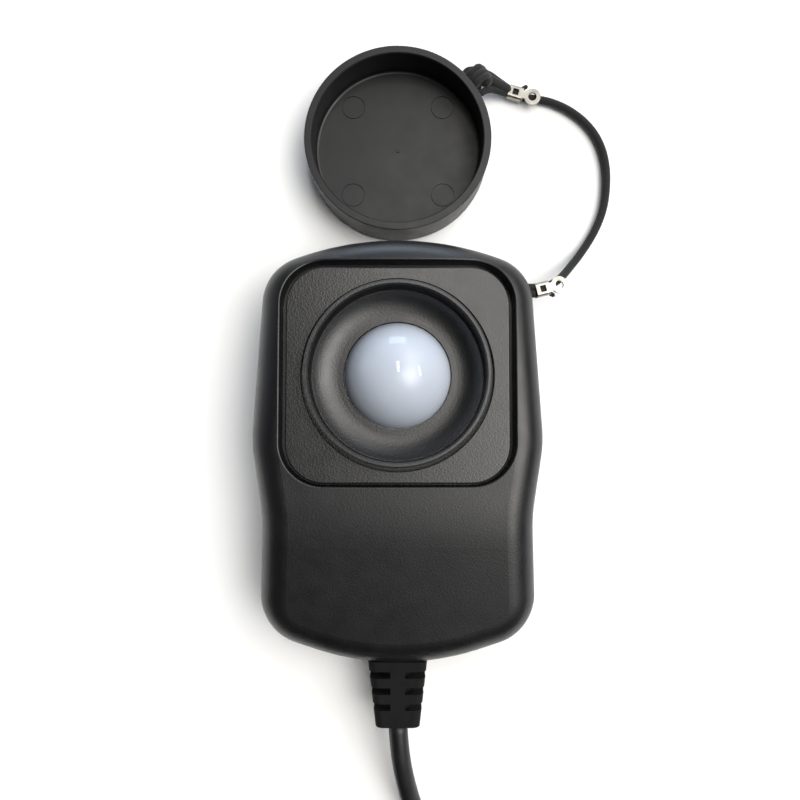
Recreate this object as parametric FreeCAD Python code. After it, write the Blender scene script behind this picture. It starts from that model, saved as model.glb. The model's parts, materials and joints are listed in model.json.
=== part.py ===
import FreeCAD, Part
import math
import os

# Detector head of a handheld light meter, in millimetres.
# The origin is on the flat back, under the axis of the opal dome. +Z is where the sensor looks,
# +Y points away from the cable, +X is the side that the cap's tether hangs on.

V = FreeCAD.Vector

# ---- Driving dimensions ----

# Case: outline corners of the right half, from the cap end to the cable end, each with its rounding.
CASE_HALF_OUTLINE = [
    (0.0, 31.65, 60.0),
    (27.2, 22.0, 10.0),
    (29.55, -13.4, 25.0),
    (27.2, -28.1, 30.0),
    (28.3, -51.6, 10.5),
    (0.0, -61.4, 52.0),
]
CABLE_END = -58.35
WALL = 2.0
FRONT = 21.5
PARTING = 9.0
PARTING_GAP = 0.3
SLOPE_START = -29.0
SLOPE_END = -66.0
SLOPE_LOW = 15.4
SLOPE_ROUNDING = 60.0
FRONT_ROUNDING = 6.0
BACK_ROUNDING = 2.5
TONGUE_HEIGHT = 1.6
TONGUE_INSET = 1.1

# Sensor pocket, the moat round its plate, the plate, and the dish insert with its raised collar
POCKET_WIDTH = 46.3
POCKET_HEIGHT = 44.5
POCKET_SHIFT = 0.38
POCKET_CORNER = 8.6
POCKET_LIP = 0.35
MOAT_FLOOR = 17.3
PLATE_WIDTH = 44.1
PLATE_HEIGHT = 42.6
PLATE_CORNER = 7.6
PLATE_BOTTOM = 19.5
PLATE_TOP = 21.0
PLATE_ROUNDING = 0.25
PLATE_OPENING = 19.15
LEDGE_INSET = 0.6
PAN_BOTTOM = 15.9
COLLAR_OUTER = 18.15
COLLAR_INNER = 17.1
COLLAR_TOP = 25.0
COLLAR_CHAMFER = 0.3
COLLAR_GROOVE = 19.6
DISH_BODY = 16.65
DISH_RIM = 16.7
DISH_RIM_Z = 20.5
DISH_FLAT = 12.0
DISH_FLOOR = 18.7
DISH_FLANGE = 20.4
DISH_FLANGE_INNER = 19.4
DISH_FLANGE_LOW = 17.2
DISH_FLANGE_MOAT = 18.3

# Optics
DOME_RADIUS = 10.6
DOME_TOP = 27.6
DOME_WALL = 1.5
DOME_FLANGE = 12.3
FILTER_RADIUS = 6.0
FILTER_BOTTOM = 12.8
FILTER_TOP = 14.8
HOLDER_BOTTOM = 12.0
HOLDER_TOP = 14.2
GASKET_BOTTOM = 15.4
FLANGE_BOTTOM = 16.0
FLANGE_TOP = 17.2

# Circuit board
BOARD_TOP = 9.0
BOARD_THICKNESS = 1.6
BOARD_HALF_X = 24.3
BOARD_HALF_Y = 17.0
BOARD_POST_X = 22.3
BOARD_POST_Y = 9.0
BOARD_POST = 2.3
LEAD_X = 3.6
PACKAGE_HALF = 5.0
PACKAGE_WALL = 0.8
CHIP_HALF = 3.6
TRIMMER_X = -11.9
TRIMMER_Y = 8.3
TRIMMER_HALF = 3.3
TRIMMER_HEIGHT = 4.0
DIAL_RADIUS = 1.4
RESISTOR_PLACES = [(6.0, 7.0), (9.4, 7.0), (12.8, 7.0), (16.2, 7.0)]
RESISTOR = (1.3, 2.0, 0.6)
CAPACITOR_PLACES = [(-12.0, -8.8), (-8.0, -8.8), (9.0, -8.8)]
CAPACITOR = (1.6, 1.6, 1.0)

# Fasteners: shank radius, head radius and head height
CASE_SCREW = (1.4, 2.4, 1.8)
SMALL_SCREW = (0.95, 1.9, 1.3)
SCREW_PLAY = 0.02
BEZEL_SCREW = (0.8, 2.1, 1.1)
HOLDER_SCREW = (0.8, 1.6, 1.1)
CASE_SCREW_PLACES = [(-20.2, 20.2), (20.2, 20.2), (-20.0, -45.5), (20.0, -45.5)]
CASE_SCREW_SEAT = 3.0
CASE_SCREW_REACH = 11.0
CASE_BOSS = 2.9
BEZEL_PEG = 1.5
BEZEL_PEG_X = 16.6
BEZEL_PEG_Y = 16.5
HOLDER_SCREW_CIRCLE = 14.6

# Cap, lying open side up beyond the end of the case
CAP_Y = 52.65
CAP_OUTER = 20.35
CAP_INNER = 18.65
CAP_HEIGHT = 9.5
CAP_FLOOR = 1.8
CAP_BREAK = 0.2
CAP_LUG_ANGLE = 40.0
LUG_OUT = 3.4
LUG_HALF_WIDTH = 2.0
LUG_LOW = 2.0
LUG_HIGH = 7.4
LUG_HOLE_OUT = 2.1
LUG_HOLE_LOW = 3.2
LUG_HOLE_HIGH = 6.2
EJECTOR_MARK_RADIUS = 2.65
EJECTOR_MARK_LINE = 0.16
EJECTOR_MARK_DEPTH = 0.25
EJECTOR_MARK_SPACING = 10.15
GATE_MARK = (0.4, 0.3, 0.1)

# Tether
TETHER_DIAMETER = 1.8
STRAND_DIAMETER = 1.6
TETHER_Y = 19.1
KNOT_X = 24.1
KNOT_RADIUS = 1.75
CRIMP_LENGTH = 3.2
CRIMP_WIDTH = 3.1
CRIMP_THICKNESS = 1.9
CRIMP_METAL = 0.35
RING_OUTER = 1.85
RING_INNER = 0.95
RING_THICKNESS = 0.5
RING_NECK = 0.5
CRIMP_HOLE = 1.4
CASE_CRIMP = (V(29.54, 19.05, 9.0), V(35.05, 20.58, 7.6))
CAP_CRIMP = (V(25.35, 66.7, 1.5), V(30.4, 65.15, 1.5))
STUB_RADIUS = 0.5
CASE_STUB = (V(32.85, 18.7, 8.0), V(34.2, 18.1, 7.6))
CAP_STUB = (V(28.45, 67.2, 1.7), V(29.7, 68.0, 1.4))

# Cable, its boot and its plug
CABLE_DIAMETER = 4.0
CABLE_Z = PARTING
BOOT_START = -58.2
BOOT_END = -71.7
BOOT_WIDTHS = (12.2, 9.1)
BOOT_HEIGHTS = (8.6, 6.8)
BOOT_SLOTS = [-60.9, -64.2, -67.5]
BOOT_SLOT_WIDTH = 1.35
BOOT_SPINE = 1.5
BOOT_NECK = (8.0, 6.0)
BOOT_FLANGE = (11.2, 8.8, 1.6)
CLAMP_Y = -50.0
CLAMP_HALF_X = 9.2
CLAMP_HALF_Y = 2.6
CLAMP_SCREW_X = 6.3
CLAMP_SEAT = 7.3
CLAMP_TOP = 12.6
CLAMP_POST = 2.2
SADDLE_HALF_X = 3.0
SADDLE_HALF_Y = 1.2
JACKET_END = -45.0
WIRE_DIAMETER = 1.0
COIL_X = -12.0
COIL_Y = -127.0
COIL_INNER = 18.0
COIL_OUTER = 30.0
COIL_HEIGHT = 12.0
COIL_ROUNDING = 1.8
TIE_WIDTH = 5.0
TIE_THICKNESS = 0.8
PLUG_X = -15.0
PLUG_Y = -165.0
PLUG_Z = 4.0
PLUG_BOOT = 7.0
PLUG_BOOT_RADII = (2.6, 3.4)
PLUG_HANDLE = 13.0
PLUG_HANDLE_RADIUS = 4.0
PLUG_SHANK_RADIUS = 1.75
PLUG_SLEEVE = 8.5
PLUG_INSULATOR = 1.0
PLUG_TIP = 3.5

# Routes of the uncoiled stretches
CABLE_ROUTE = [
    (0.0, -71.7, 9.0),
    (0.35, -77.7, 8.8),
    (1.5, -84.7, 6.9),
    (3.4, -92.2, 4.2),
    (6.7, -100.4, 2.3),
    (10.9, -108.6, 2.05),
    (14.4, -116.8, 2.05),
    (16.0, -124.6, 2.05),
]
TAIL_ROUTE = [
    (15.4, -132.8, 10.0),
    (13.3, -142.4, 9.3),
    (8.8, -151.4, 7.1),
    (1.8, -158.8, 5.1),
    (-6.8, -163.6, 4.2),
    (-15.0, -165.0, 4.0),
]
TETHER_ROUTE = [
    (32.55, 20.35, 7.75),
    (34.4, 21.35, 6.9),
    (36.3, 23.0, 5.5),
    (38.2, 25.2, 3.7),
    (40.5, 27.9, 2.1),
    (42.8, 31.0, 1.1),
    (45.1, 34.8, 0.95),
    (46.9, 39.3, 0.95),
    (47.7, 44.4, 0.95),
    (47.7, 49.7, 0.95),
    (46.5, 54.7, 0.95),
    (43.9, 58.9, 0.95),
    (40.1, 62.2, 0.95),
    (35.9, 64.3, 0.95),
    (32.1, 65.2, 0.95),
    (28.75, 65.6, 0.95),
]


# ---- Helpers ----


def box(x0, x1, y0, y1, z0, z1):
    """A block between two corners."""
    return Part.makeBox(x1 - x0, y1 - y0, z1 - z0, V(x0, y0, z0))


def post(radius, x, y, z0, z1):
    """An upright cylinder."""
    return Part.makeCylinder(radius, z1 - z0, V(x, y, z0))


def rod(radius, start, end):
    """A cylinder between two points."""
    axis = end - start
    return Part.makeCylinder(radius, axis.Length, start, axis)


def ring(outer, inner, z0, z1):
    """An upright ring on the dome's axis."""
    return post(outer, 0, 0, z0, z1).cut(post(inner, 0, 0, z0 - 1, z1 + 1))


def corner_arc(before, point, after, radius):
    """The start, middle and end of the tangent arc that rounds a corner."""
    back = (before - point).normalize()
    ahead = (after - point).normalize()
    half_turn = (math.pi - back.getAngle(ahead)) / 2
    reach = radius * math.tan(half_turn)
    bisector = (back + ahead).normalize()
    centre = point + bisector * (radius / math.cos(half_turn))
    return point + back * reach, centre - bisector * radius, point + ahead * reach


def rounded_loop(corners):
    """A closed wire of straight runs joined by tangent arcs, from (point, radius) corners."""
    count = len(corners)
    arcs = []
    for index, (point, radius) in enumerate(corners):
        before = corners[index - 1][0]
        after = corners[(index + 1) % count][0]
        arcs.append(corner_arc(before, point, after, radius) if radius else (point, None, point))
    edges = []
    for index, (start, middle, end) in enumerate(arcs):
        if middle:
            edges.append(Part.Arc(start, middle, end).toShape())
        following = arcs[(index + 1) % count][0]
        if (following - end).Length > 1e-6:
            edges.append(Part.LineSegment(end, following).toShape())
    return Part.Wire(edges)


def rounded_rectangle(width, height, radius, y, z):
    """A flat wire around the point (0, y), at height z."""
    half_x = width / 2
    half_y = height / 2
    corners = [(half_x, half_y), (half_x, -half_y), (-half_x, -half_y), (-half_x, half_y)]
    return rounded_loop([(V(a, y + b, z), radius) for a, b in corners])


def rounded_plate(width, height, radius, y, z0, z1):
    """A flat plate with rounded corners."""
    face = Part.Face(rounded_rectangle(width, height, radius, y, z0))
    return face.extrude(V(0, 0, z1 - z0))


def turned(edges):
    """A solid turned about the dome's axis from a closed profile in the XZ plane."""
    return Part.Face(Part.Wire(edges)).revolve(V(0, 0, 0), V(0, 0, 1), 360)


def turned_polygon(points):
    """A solid turned about the dome's axis from (radius, z) corners."""
    corners = [V(radius, 0, z) for radius, z in points]
    return turned(Part.makePolygon(corners + corners[:1]).Edges)


def screw(size, x, y, seat, reach):
    """A round-head screw: its head rests on the height seat, and reach is its shank, up if positive."""
    shank, head, head_height = size
    away = -1 if reach > 0 else 1
    direction = V(0, 0, -away)
    body = Part.makeCylinder(shank, abs(reach), V(x, y, seat), direction)
    body = body.fuse(Part.makeCylinder(head, head_height, V(x, y, seat), V(0, 0, away)))
    slot_y = 0.25
    far = seat + away * head_height
    low, high = sorted((far - away * 0.6, far + away * 0.1))
    for half_x, half_y in ((head * 0.7, slot_y), (slot_y, head * 0.7)):
        body = body.cut(box(x - half_x, x + half_x, y - half_y, y + half_y, low, high))
    return body


def group(solids):
    """Several separate solids in one node."""
    return Part.makeCompound(solids)


def cord(name, route, diameter):
    """A tube of straight runs joined by tangent arcs along a route, with its radii printed."""
    points = [V(*point) for point in route]
    edges = []
    radii = []
    place = points[0]
    for index in range(1, len(points) - 1):
        before, point, after = points[index - 1 : index + 2]
        shorter = min((point - before).Length, (after - point).Length)
        half_turn = (math.pi - (before - point).getAngle(after - point)) / 2
        radius = 0.45 * shorter / math.tan(half_turn)
        start, middle, end = corner_arc(before, point, after, radius)
        edges.append(Part.LineSegment(place, start).toShape())
        edges.append(Part.Arc(start, middle, end).toShape())
        radii.append(round(radius, 1))
        place = end
    edges.append(Part.LineSegment(place, points[-1]).toShape())
    path = Part.Wire(edges)
    direction = points[1] - points[0]
    section = Part.Wire(Part.Circle(points[0], direction, diameter / 2).toShape())
    solid = path.makePipeShell([section], True, False)
    expected = math.pi * diameter**2 / 4 * path.Length
    print(name, "length", round(path.Length, 1), "radii", radii, "volume", round(solid.Volume / expected, 4))
    return solid


def placed(shape, start, towards, roll=0.0):
    """Moves a shape made along +X from the origin so that it runs from start towards a point."""
    direction = towards - start
    turn = FreeCAD.Rotation(V(1, 0, 0), direction)
    moved = shape.copy()
    moved.Placement = FreeCAD.Placement(start, turn.multiply(FreeCAD.Rotation(V(1, 0, 0), roll)))
    return moved


# ---- Case ----


def case_outline(z):
    """The outline of the case as a closed wire."""
    right = CASE_HALF_OUTLINE
    left = [(-x, y, radius) for x, y, radius in reversed(right[1:-1])]
    return rounded_loop([(V(x, y, z), radius) for x, y, radius in right + left])


def case_prism(inset, z0, z1):
    """The outline, moved inwards by an inset, as an upright block."""
    wire = case_outline(z0)
    if inset:
        wire = wire.makeOffset2D(-inset)
    return Part.Face(wire).extrude(V(0, 0, z1 - z0))


def case_block(inset):
    """The closed outer form of the case, with a level front that slopes down to the cable end."""
    profile = rounded_loop(
        [
            (V(-40, 40, inset), 0),
            (V(-40, 40, FRONT - inset), 0),
            (V(-40, SLOPE_START, FRONT - inset), SLOPE_ROUNDING),
            (V(-40, SLOPE_END, SLOPE_LOW - inset), 0),
            (V(-40, SLOPE_END, inset), 0),
        ]
    )
    block = case_prism(inset, 0, FRONT + 5).common(Part.Face(profile).extrude(V(80, 0, 0)))
    front_edges = []
    for edge in block.Edges:
        limits = edge.BoundBox
        crosswise = limits.YLength < 0.01 and limits.XLength > 50
        if limits.ZMin > PARTING + 3 and not crosswise:
            front_edges.append(edge)
    block = block.makeFillet(FRONT_ROUNDING - inset, front_edges)
    back_edges = [edge for edge in block.Edges if edge.BoundBox.ZMax < inset + 0.01]
    return block.makeFillet(max(BACK_ROUNDING - inset, 0.5), back_edges)


def front_shell(outside, inside):
    """The front half of the case, with the sensor pocket, its pan, and posts for screws."""
    low = PARTING + PARTING_GAP / 2
    pan = rounded_plate(
        POCKET_WIDTH + 2 * WALL, POCKET_HEIGHT + 2 * WALL, POCKET_CORNER + WALL, POCKET_SHIFT, PAN_BOTTOM, FRONT
    )
    cavity = inside.cut(pan)
    shell = outside.common(box(-40, 40, -80, 40, low, 40)).cut(cavity)
    for x, y in CASE_SCREW_PLACES:
        shell = shell.fuse(post(CASE_BOSS, x, y, low, FRONT - 1).common(inside))
    for x in (-BOARD_POST_X, BOARD_POST_X):
        for y in (-BOARD_POST_Y, BOARD_POST_Y):
            shell = shell.fuse(post(BOARD_POST, x, y, BOARD_TOP, PAN_BOTTOM + 0.5))
            shell = shell.cut(post(SMALL_SCREW[0] + SCREW_PLAY, x, y, BOARD_TOP - 1, PAN_BOTTOM - 1.5))
    pocket = rounded_plate(POCKET_WIDTH, POCKET_HEIGHT, POCKET_CORNER, POCKET_SHIFT, MOAT_FLOOR, FRONT + 5)
    ledge = rounded_plate(
        PLATE_WIDTH - 2 * LEDGE_INSET, PLATE_HEIGHT - 2 * LEDGE_INSET, PLATE_CORNER - LEDGE_INSET, 0, 0, PLATE_BOTTOM
    )
    shell = shell.cut(pocket.cut(ledge))
    shell = shell.cut(post(DISH_FLANGE + 0.2, 0, 0, DISH_FLANGE_LOW, FRONT)).cut(post(DISH_BODY + 0.2, 0, 0, 0, FRONT))
    for x in (-BEZEL_PEG_X, BEZEL_PEG_X):
        for y in (-BEZEL_PEG_Y, BEZEL_PEG_Y):
            shell = shell.cut(post(BEZEL_PEG + 0.1, x, y, PAN_BOTTOM - 1, FRONT))
    for x, y in CASE_SCREW_PLACES:
        shell = shell.cut(post(CASE_SCREW[0] + SCREW_PLAY, x, y, 0, CASE_SCREW_SEAT + CASE_SCREW_REACH + 0.5))
    rebate = case_prism(TONGUE_INSET - 0.1, 0, PARTING + TONGUE_HEIGHT + 0.2)
    keep = case_prism(WALL, -1, 40)
    shell = shell.cut(rebate.cut(keep))
    lip = [
        edge
        for edge in shell.Edges
        if abs(edge.BoundBox.ZMin - FRONT) < 0.01 and abs(edge.BoundBox.ZMax - FRONT) < 0.01
        if edge.BoundBox.XMin > -POCKET_WIDTH / 2 - 0.1 and edge.BoundBox.XMax < POCKET_WIDTH / 2 + 0.1
        if edge.BoundBox.YMax < POCKET_SHIFT + POCKET_HEIGHT / 2 + 0.1
        if edge.BoundBox.YMin > POCKET_SHIFT - POCKET_HEIGHT / 2 - 0.1
    ]
    shell = shell.makeFillet(POCKET_LIP, lip)
    return shell.cut(case_openings())


def rear_shell(outside, inside):
    """The rear half of the case, with its tongue, screw bosses and cable saddle."""
    high = PARTING - PARTING_GAP / 2
    shell = outside.common(box(-40, 40, -80, 40, -1, high)).cut(inside)
    tongue = case_prism(TONGUE_INSET, high - 0.5, PARTING + TONGUE_HEIGHT)
    shell = shell.fuse(tongue.cut(case_prism(WALL, 0, 40)))
    for x, y in CASE_SCREW_PLACES:
        shell = shell.fuse(post(CASE_BOSS, x, y, WALL / 2, high - 0.1))
    for x in (-CLAMP_SCREW_X, CLAMP_SCREW_X):
        shell = shell.fuse(post(CLAMP_POST, x, CLAMP_Y, WALL / 2, CLAMP_SEAT))
        shell = shell.cut(post(SMALL_SCREW[0] + SCREW_PLAY, x, CLAMP_Y, WALL, CLAMP_SEAT + 1))
    saddle_y = (CLAMP_Y - SADDLE_HALF_Y, CLAMP_Y + SADDLE_HALF_Y)
    shell = shell.fuse(box(-SADDLE_HALF_X, SADDLE_HALF_X, *saddle_y, WALL / 2, CLAMP_SEAT - 0.1))
    shell = shell.cut(rod(CABLE_DIAMETER / 2, V(0, CABLE_END + WALL, CABLE_Z), V(0, -40, CABLE_Z)))
    shell = shell.cut(case_openings())
    for x, y in CASE_SCREW_PLACES:
        shell = shell.cut(post(CASE_SCREW[0] + 0.15, x, y, -1, 12))
        shell = shell.cut(post(CASE_SCREW[1] + 0.25, x, y, -1, CASE_SCREW_SEAT))
    return shell


def case_openings():
    """The holes that both shells share: the boot's neck, and the tether's slot with room for its knot."""
    half_x = BOOT_NECK[0] / 2
    half_z = BOOT_NECK[1] / 2
    neck = box(-half_x, half_x, CABLE_END - 2, CABLE_END + WALL + 1.5, CABLE_Z - half_z, CABLE_Z + half_z)
    play = 0.15
    half_y = STRAND_DIAMETER + play
    half_z = STRAND_DIAMETER / 2 + play
    slot = box(KNOT_X, 32, TETHER_Y - half_y, TETHER_Y + half_y, CABLE_Z - half_z, CABLE_Z + half_z)
    room = KNOT_RADIUS + play
    knot_room = box(KNOT_X - room, KNOT_X + room, -room, room, -room, room)
    knot_room.translate(V(0, TETHER_Y, CABLE_Z))
    return neck.fuse(slot).fuse(knot_room)


def make_case():
    """Both shells and the screws that join them."""
    outside = case_block(0)
    inside = case_block(WALL)
    screws = [screw(CASE_SCREW, x, y, CASE_SCREW_SEAT, CASE_SCREW_REACH) for x, y in CASE_SCREW_PLACES]
    return {
        "front_shell": front_shell(outside, inside),
        "rear_shell": rear_shell(outside, inside),
        "case_screws": group(screws),
    }


# ---- Sensor module ----


def make_bezel():
    """The plate in the pocket with its round opening, and the screws that hold it from inside."""
    plate = rounded_plate(PLATE_WIDTH, PLATE_HEIGHT, PLATE_CORNER, 0, PLATE_BOTTOM, PLATE_TOP)
    rim = [edge for edge in plate.Edges if edge.BoundBox.ZMin > PLATE_TOP - 0.01]
    plate = plate.makeFillet(PLATE_ROUNDING, rim)
    plate = plate.cut(post(PLATE_OPENING, 0, 0, 0, 40))
    peg_end = PAN_BOTTOM + 0.1
    screws = []
    for x in (-BEZEL_PEG_X, BEZEL_PEG_X):
        for y in (-BEZEL_PEG_Y, BEZEL_PEG_Y):
            plate = plate.fuse(post(BEZEL_PEG, x, y, peg_end, PLATE_BOTTOM + 0.1))
            plate = plate.cut(post(BEZEL_SCREW[0] + SCREW_PLAY, x, y, peg_end - 1, PLATE_TOP - 0.8))
            screws.append(screw(BEZEL_SCREW, x, y, PAN_BOTTOM, 3.6))
    return {"bezel_plate": plate, "bezel_screws": group(screws)}


def make_dish():
    """The insert round the dome: a concave dish inside a raised collar, on a flange that the plate holds down."""
    rise = DISH_RIM_Z - DISH_FLOOR
    reach = DISH_RIM - DISH_FLAT
    radius = (reach**2 + rise**2) / (2 * rise)
    half = math.asin(reach / radius) / 2
    middle = V(DISH_FLAT + radius * math.sin(half), 0, DISH_FLOOR + radius * (1 - math.cos(half)))
    flat_end = V(DISH_FLAT, 0, DISH_FLOOR)
    rim = V(DISH_RIM, 0, DISH_RIM_Z)
    outline = [
        (DISH_RIM, DISH_RIM_Z),
        (DISH_RIM, COLLAR_GROOVE),
        (COLLAR_INNER, COLLAR_GROOVE),
        (COLLAR_INNER, COLLAR_TOP - COLLAR_CHAMFER),
        (COLLAR_INNER + COLLAR_CHAMFER, COLLAR_TOP),
        (COLLAR_OUTER - COLLAR_CHAMFER, COLLAR_TOP),
        (COLLAR_OUTER, COLLAR_TOP - COLLAR_CHAMFER),
        (COLLAR_OUTER, DISH_FLANGE_MOAT),
        (DISH_FLANGE_INNER, DISH_FLANGE_MOAT),
        (DISH_FLANGE_INNER, PLATE_BOTTOM),
        (DISH_FLANGE, PLATE_BOTTOM),
        (DISH_FLANGE, DISH_FLANGE_LOW),
        (DISH_BODY, DISH_FLANGE_LOW),
        (DISH_BODY, HOLDER_TOP),
        (DOME_FLANGE + 0.4, HOLDER_TOP),
        (DOME_FLANGE + 0.4, FLANGE_TOP),
        (DOME_RADIUS + 0.22, FLANGE_TOP),
        (DOME_RADIUS + 0.22, DISH_FLOOR),
        (DISH_FLAT, DISH_FLOOR),
    ]
    edges = Part.makePolygon([V(r, 0, z) for r, z in outline]).Edges
    edges.append(Part.Arc(flat_end, middle, rim).toShape())
    dish = turned(edges)
    for x, y in holder_screw_places():
        dish = dish.cut(post(HOLDER_SCREW[0] + SCREW_PLAY, x, y, 0, 17.4))
    return dish


def holder_screw_places():
    """Three places on a circle in the dish's lower ring."""
    turns = [math.radians(angle) for angle in (90, 210, 330)]
    return [(HOLDER_SCREW_CIRCLE * math.cos(turn), HOLDER_SCREW_CIRCLE * math.sin(turn)) for turn in turns]


def make_dome():
    """The opal dome: a hollow cap of a sphere on a short neck with a flange."""
    height = DOME_TOP - DISH_FLOOR
    radius = (DOME_RADIUS**2 + height**2) / (2 * height)
    centre = DOME_TOP - radius
    outer = Part.makeSphere(radius, V(0, 0, centre)).cut(box(-20, 20, -20, 20, 0, DISH_FLOOR))
    outer = outer.fuse(post(DOME_RADIUS, 0, 0, FLANGE_BOTTOM, DISH_FLOOR))
    outer = outer.fuse(post(DOME_FLANGE, 0, 0, FLANGE_BOTTOM, FLANGE_TOP))
    hollow = Part.makeSphere(radius - DOME_WALL, V(0, 0, centre))
    return outer.cut(hollow).removeSplitter()


def make_optics():
    """What lies under the dome: the seal, the colour filter, their holder and its screws."""
    holder = turned_polygon(
        [
            (5.0, HOLDER_BOTTOM),
            (16.2, HOLDER_BOTTOM),
            (16.2, HOLDER_TOP),
            (DOME_FLANGE + 0.1, HOLDER_TOP),
            (DOME_FLANGE + 0.1, GASKET_BOTTOM),
            (FILTER_RADIUS + 4.9, GASKET_BOTTOM),
            (FILTER_RADIUS + 4.9, HOLDER_TOP),
            (FILTER_RADIUS + 1.6, HOLDER_TOP),
            (FILTER_RADIUS + 1.6, FILTER_TOP + 0.2),
            (FILTER_RADIUS + 0.05, FILTER_TOP + 0.2),
            (FILTER_RADIUS + 0.05, FILTER_BOTTOM),
            (5.0, FILTER_BOTTOM),
        ]
    )
    screws = []
    for x, y in holder_screw_places():
        holder = holder.cut(post(0.9, x, y, 0, 20))
        screws.append(screw(HOLDER_SCREW, x, y, HOLDER_BOTTOM, 5.0))
    return {
        "dome_gasket": ring(DOME_FLANGE, FILTER_RADIUS + 4.95, GASKET_BOTTOM, FLANGE_BOTTOM),
        "colour_filter": post(FILTER_RADIUS, 0, 0, FILTER_BOTTOM, FILTER_TOP),
        "filter_holder": holder,
        "holder_screws": group(screws),
    }


def square_block(half, x, y, z0, z1):
    """An upright block on a square of that half width."""
    return box(x - half, x + half, y - half, y + half, z0, z1)


def chips(places, size, top):
    """Equal small parts soldered under the board."""
    width, length, height = size
    blocks = []
    for x, y in places:
        blocks.append(box(x - width / 2, x + width / 2, y - length / 2, y + length / 2, top - height, top))
    return group(blocks)


def make_board():
    """The circuit board with the photodiode above it and small parts below it."""
    bottom = BOARD_TOP - BOARD_THICKNESS
    board = rounded_plate(2 * BOARD_HALF_X, 2 * BOARD_HALF_Y, 2.5, 0, bottom, BOARD_TOP)
    board_screws = []
    for x in (-BOARD_POST_X, BOARD_POST_X):
        for y in (-BOARD_POST_Y, BOARD_POST_Y):
            board = board.cut(post(SMALL_SCREW[0] + 0.2, x, y, 0, 20))
            board_screws.append(screw(SMALL_SCREW, x, y, bottom, 6.5))
    leads = []
    for x in (-LEAD_X, LEAD_X):
        board = board.cut(post(0.4, x, 0, 0, 20))
        leads.append(post(0.35, x, 0, bottom - 1.0, BOARD_TOP))
    package = square_block(PACKAGE_HALF, 0, 0, BOARD_TOP, BOARD_TOP + 2.0)
    window_half = PACKAGE_HALF - PACKAGE_WALL
    package = package.cut(square_block(window_half, 0, 0, BOARD_TOP + 1.0, BOARD_TOP + 3))
    chip_top = BOARD_TOP + 1.3
    trimmer_low = bottom - TRIMMER_HEIGHT
    dial_seat = trimmer_low + 0.6
    trimmer = square_block(TRIMMER_HALF, TRIMMER_X, TRIMMER_Y, trimmer_low, bottom)
    trimmer = trimmer.cut(post(DIAL_RADIUS + 0.1, TRIMMER_X, TRIMMER_Y, trimmer_low - 1, dial_seat))
    dial = post(DIAL_RADIUS, TRIMMER_X, TRIMMER_Y, trimmer_low - 0.1, dial_seat)
    slot = box(-1.2, 1.2, -0.2, 0.2, trimmer_low - 1, trimmer_low + 0.2)
    slot.translate(V(TRIMMER_X, TRIMMER_Y, 0))
    dial = dial.cut(slot)
    return {
        "circuit_board": board,
        "board_screws": group(board_screws),
        "photodiode_package": package,
        "photodiode_chip": square_block(CHIP_HALF, 0, 0, BOARD_TOP + 1.0, chip_top),
        "photodiode_window": square_block(window_half, 0, 0, chip_top, BOARD_TOP + 1.9),
        "photodiode_leads": group(leads),
        "calibration_trimmer": trimmer,
        "trimmer_dial": dial,
        "load_resistors": chips(RESISTOR_PLACES, RESISTOR, bottom),
        "filter_capacitors": chips(CAPACITOR_PLACES, CAPACITOR, bottom),
    }


# ---- Cable ----


def boot_section(y, width, height):
    """The rounded rectangle of the cable boot at one place along it."""
    half_x = width / 2
    half_z = height / 2
    corners = [(half_x, half_z), (half_x, -half_z), (-half_x, -half_z), (-half_x, half_z)]
    return rounded_loop([(V(x, y, CABLE_Z + z), 1.6) for x, z in corners])


def make_boot():
    """The slotted strain relief, with a neck in the case wall and a flange inside it."""
    boot = Part.makeLoft(
        [
            boot_section(BOOT_START, BOOT_WIDTHS[0], BOOT_HEIGHTS[0]),
            boot_section(BOOT_END, BOOT_WIDTHS[1], BOOT_HEIGHTS[1]),
        ],
        True,
        True,
    )
    for y in BOOT_SLOTS:
        slot = box(-10, 10, y - BOOT_SLOT_WIDTH / 2, y + BOOT_SLOT_WIDTH / 2, 0, 20)
        slot = slot.cut(box(-BOOT_SPINE, BOOT_SPINE, -80, -50, 0, 20))
        slot = slot.cut(rod(2.9, V(0, -80, CABLE_Z), V(0, -50, CABLE_Z)))
        boot = boot.cut(slot)
    boot = boot.cut(case_block(0))
    half_x = BOOT_NECK[0] / 2 - 0.1
    half_z = BOOT_NECK[1] / 2 - 0.1
    inner = CABLE_END + WALL + 0.6
    boot = boot.fuse(box(-half_x, half_x, BOOT_START - 0.8, inner, CABLE_Z - half_z, CABLE_Z + half_z))
    width, height, thickness = BOOT_FLANGE
    flange = box(-width / 2, width / 2, inner, inner + thickness, -height / 2, height / 2)
    flange.translate(V(0, 0, CABLE_Z))
    boot = boot.fuse(flange)
    return boot.cut(rod(CABLE_DIAMETER / 2, V(0, -80, CABLE_Z), V(0, -50, CABLE_Z)))


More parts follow.
